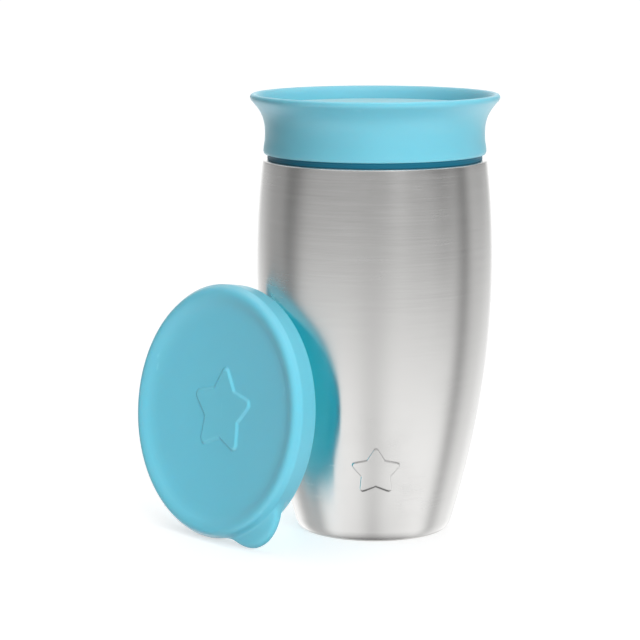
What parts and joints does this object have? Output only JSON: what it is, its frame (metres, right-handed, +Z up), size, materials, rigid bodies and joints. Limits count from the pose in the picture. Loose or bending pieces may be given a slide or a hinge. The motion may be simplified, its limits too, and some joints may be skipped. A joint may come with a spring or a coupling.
{
  "type": "sippy cup",
  "caption": "Double-wall steel toddler cup with a screw-in spoutless drinking collar, a lift valve, a neck gasket and a loose round snap cover leaning on its side.",
  "frame": {"origin": "centre of the flat face that the cup stands on", "axes": "+Z up along the cup's axis; -Y is the side with the raised star; the loose cover leans on the barrel at -X, -Y"},
  "size_m": [0.1248, 0.0928, 0.1495],
  "materials": {
    "brushed_steel": "circumferentially brushed stainless steel",
    "liner_steel": "electropolished stainless steel",
    "seal_glass": "opaque solder glass",
    "pad_rubber": "dark matt non-slip elastomer",
    "getter_metal": "sintered grey metal",
    "gasket_silicone": "dark teal silicone",
    "collar_plastic": "light blue polypropylene, satin gloss",
    "valve_silicone": "light blue silicone, soft satin",
    "cover_plastic": "light blue moulded plastic, satin"
  },
  "bodies": {
    "cup": {"outer_shell": "brushed_steel", "inner_liner": "liner_steel", "base_plate": "liner_steel", "vacuum_seal_bead": "seal_glass", "base_pad": "pad_rubber", "getter_capsule": "getter_metal"},
    "neck_seal": {"neck_gasket": "gasket_silicone"},
    "collar": {"drinking_collar": "collar_plastic"},
    "valve": {"valve_disc": "valve_silicone"},
    "cover": {"cover": "cover_plastic"}
  },
  "joints": [
    {"name": "collar_lift", "type": "slide", "parent": "cup", "child": "neck_seal", "axis": [0, 0, 1], "range_m": [0, 0.0101]},
    {"name": "collar_turn", "type": "hinge", "parent": "neck_seal", "child": "collar", "pos_m": [0, 0, 0.1293], "axis": [0, 0, 1], "range_deg": [0, 720]},
    {"name": "valve_lift", "type": "slide", "parent": "collar", "child": "valve", "axis": [0, 0, 1], "range_m": [0, 0.0012], "stiffness_N_per_m": 400, "springref_m": -0.0005},
    {"name": "cover_slide", "type": "slide", "parent": "cup", "child": "cover", "axis": [-0.7466, -0.6652, 0], "range_m": [0, 0.08]}
  ],
  "couplings": [
    {"joint": "collar_lift", "follows": "collar_turn", "m_per_rad": 0.00079577}
  ]
}
